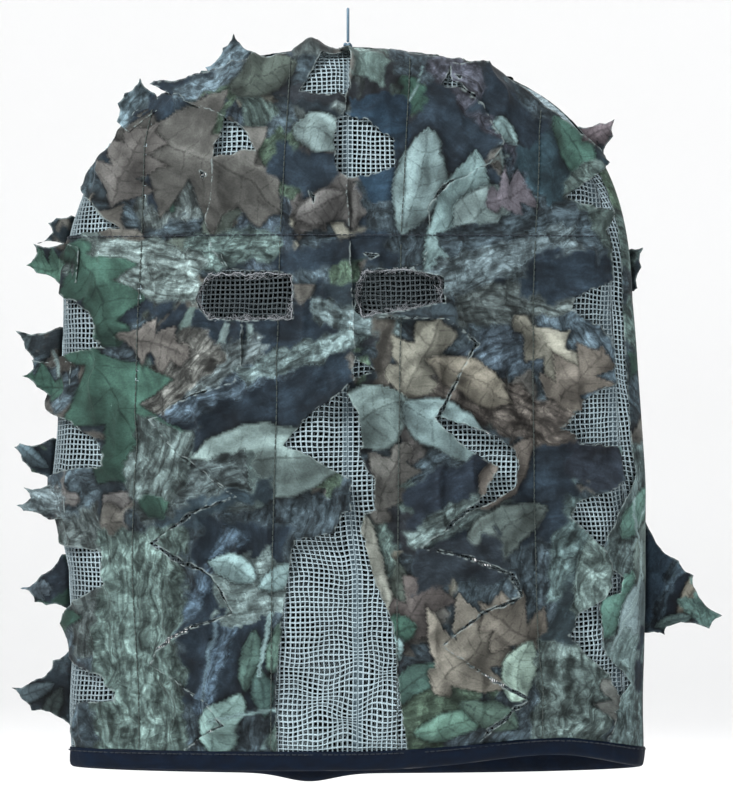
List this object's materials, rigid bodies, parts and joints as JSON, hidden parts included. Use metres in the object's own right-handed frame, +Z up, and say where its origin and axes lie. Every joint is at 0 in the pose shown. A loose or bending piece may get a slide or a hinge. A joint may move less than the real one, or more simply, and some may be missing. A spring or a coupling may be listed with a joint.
{
  "type": "leaf camouflage hood",
  "caption": "Full-head camouflage hood of netting with sewn strips of leaf-cut cloth, two netted eye windows, a folded neck tape, free leaf tips and a hanging loop.",
  "frame": {"origin": "top of the hanging loop, where it bears on what it hangs from", "axes": "+Z up along the hood, the face looks along -Y, the wearer's left is towards +X"},
  "size_m": [0.3855, 0.0893, 0.4203],
  "materials": {
    "netting": "open woven mesh of pale grey-green polyester thread",
    "leaf_cloth": "matt polyester cloth printed with leaves, bark and shadow, cut edges",
    "thread": "matt polyester sewing thread",
    "neck_tape": "dark navy knitted binding tape with a soft sheen",
    "cord": "thin braided cord"
  },
  "bodies": {
    "hood": {"net_front_left": "netting", "net_front_right": "netting", "net_back_right": "netting", "net_back_left": "netting", "centre_seam_front": "netting", "centre_seam_back": "netting", "side_seam_right": "netting", "side_seam_left": "netting", "leaf_strip_a_upper": "leaf_cloth", "leaf_strip_b_upper": "leaf_cloth", "leaf_strip_c_upper": "leaf_cloth", "leaf_strip_d_upper": "leaf_cloth", "leaf_strip_a_lower": "leaf_cloth", "leaf_strip_b_lower": "leaf_cloth", "leaf_strip_c_lower": "leaf_cloth", "leaf_strip_d_lower": "leaf_cloth", "leaf_strip_a_back": "leaf_cloth", "leaf_strip_b_back": "leaf_cloth", "leaf_strip_c_back": "leaf_cloth", "leaf_strip_d_back": "leaf_cloth", "stitches_a_upper": "thread", "stitches_b_upper": "thread", "stitches_c_upper": "thread", "stitches_d_upper": "thread", "stitches_a_lower": "thread", "stitches_b_lower": "thread", "stitches_c_lower": "thread", "stitches_d_lower": "thread", "stitches_a_back": "thread", "stitches_b_back": "thread", "stitches_c_back": "thread", "stitches_d_back": "thread", "stitches_brow": "thread", "stitches_tape": "thread", "neck_tape": "neck_tape", "hang_loop": "cord", "loop_knot": "cord"},
    "left_leaf_1": {"left_leaf_1": "leaf_cloth"},
    "left_leaf_2": {"left_leaf_2": "leaf_cloth"},
    "left_leaf_3": {"left_leaf_3": "leaf_cloth"},
    "left_leaf_4": {"left_leaf_4": "leaf_cloth"},
    "left_leaf_5": {"left_leaf_5": "leaf_cloth"},
    "left_leaf_6": {"left_leaf_6": "leaf_cloth"},
    "left_leaf_7": {"left_leaf_7": "leaf_cloth"},
    "left_leaf_8": {"left_leaf_8": "leaf_cloth"},
    "crown_leaf_1": {"crown_leaf_1": "leaf_cloth"},
    "crown_leaf_2": {"crown_leaf_2": "leaf_cloth"},
    "right_leaf_1": {"right_leaf_1": "leaf_cloth"},
    "right_leaf_2": {"right_leaf_2": "leaf_cloth"},
    "right_leaf_3": {"right_leaf_3": "leaf_cloth"}
  },
  "joints": [
    {"name": "left_leaf_1_bend", "type": "hinge", "parent": "hood", "child": "left_leaf_1", "pos_m": [-0.1515, 0.006, -0.12], "axis": [-0.1843, 0, -0.9829], "range_deg": [-10, 75], "stiffness_Nm_per_rad": 0.0003},
    {"name": "left_leaf_2_bend", "type": "hinge", "parent": "hood", "child": "left_leaf_2", "pos_m": [-0.1539, -0.006, -0.13875], "axis": [0.0797, 0, 0.9968], "range_deg": [-10, 75], "stiffness_Nm_per_rad": 0.0003},
    {"name": "left_leaf_3_bend", "type": "hinge", "parent": "hood", "child": "left_leaf_3", "pos_m": [-0.15675, 0.006, -0.1825], "axis": [-0.0712, 0, -0.9975], "range_deg": [-10, 75], "stiffness_Nm_per_rad": 0.0003},
    {"name": "left_leaf_4_bend", "type": "hinge", "parent": "hood", "child": "left_leaf_4", "pos_m": [-0.158, -0.006, -0.20125], "axis": [0.0679, 0, 0.9977], "range_deg": [-10, 75], "stiffness_Nm_per_rad": 0.0003},
    {"name": "left_leaf_5_bend", "type": "hinge", "parent": "hood", "child": "left_leaf_5", "pos_m": [-0.1603, 0.006, -0.24425], "axis": [-0.0425, 0, -0.9991], "range_deg": [-10, 75], "stiffness_Nm_per_rad": 0.0003},
    {"name": "left_leaf_6_bend", "type": "hinge", "parent": "hood", "child": "left_leaf_6", "pos_m": [-0.16095, -0.006, -0.267], "axis": [0.0158, 0, 0.9999], "range_deg": [-10, 75], "stiffness_Nm_per_rad": 0.0003},
    {"name": "left_leaf_7_bend", "type": "hinge", "parent": "hood", "child": "left_leaf_7", "pos_m": [-0.15325, 0.006, -0.31025], "axis": [0.1178, 0, -0.993], "range_deg": [-10, 75], "stiffness_Nm_per_rad": 0.0003},
    {"name": "left_leaf_8_bend", "type": "hinge", "parent": "hood", "child": "left_leaf_8", "pos_m": [-0.15, 0.006, -0.3685], "axis": [0.0232, 0, -0.9997], "range_deg": [-10, 75], "stiffness_Nm_per_rad": 0.0003},
    {"name": "crown_leaf_1_bend", "type": "hinge", "parent": "hood", "child": "crown_leaf_1", "pos_m": [-0.11425, -0.005, -0.05425], "axis": [0.7977, 0, 0.6031], "range_deg": [-10, 75], "stiffness_Nm_per_rad": 0.0003},
    {"name": "crown_leaf_2_bend", "type": "hinge", "parent": "hood", "child": "crown_leaf_2", "pos_m": [-0.06425, -0.003, -0.02825], "axis": [0.9487, 0, 0.3162], "range_deg": [-10, 75], "stiffness_Nm_per_rad": 0.0003},
    {"name": "right_leaf_1_bend", "type": "hinge", "parent": "hood", "child": "right_leaf_1", "pos_m": [0.1316, 0.005, -0.07275], "axis": [-0.6022, 0, 0.7984], "range_deg": [-10, 75], "stiffness_Nm_per_rad": 0.0003},
    {"name": "right_leaf_2_bend", "type": "hinge", "parent": "hood", "child": "right_leaf_2", "pos_m": [0.1541, 0.004, -0.1415], "axis": [-0.0608, 0, 0.9982], "range_deg": [-10, 75], "stiffness_Nm_per_rad": 0.0003},
    {"name": "right_leaf_3_bend", "type": "hinge", "parent": "hood", "child": "right_leaf_3", "pos_m": [0.16195, 0.005, -0.299], "axis": [-0.0244, 0, 0.9997], "range_deg": [-10, 75], "stiffness_Nm_per_rad": 0.0006}
  ]
}
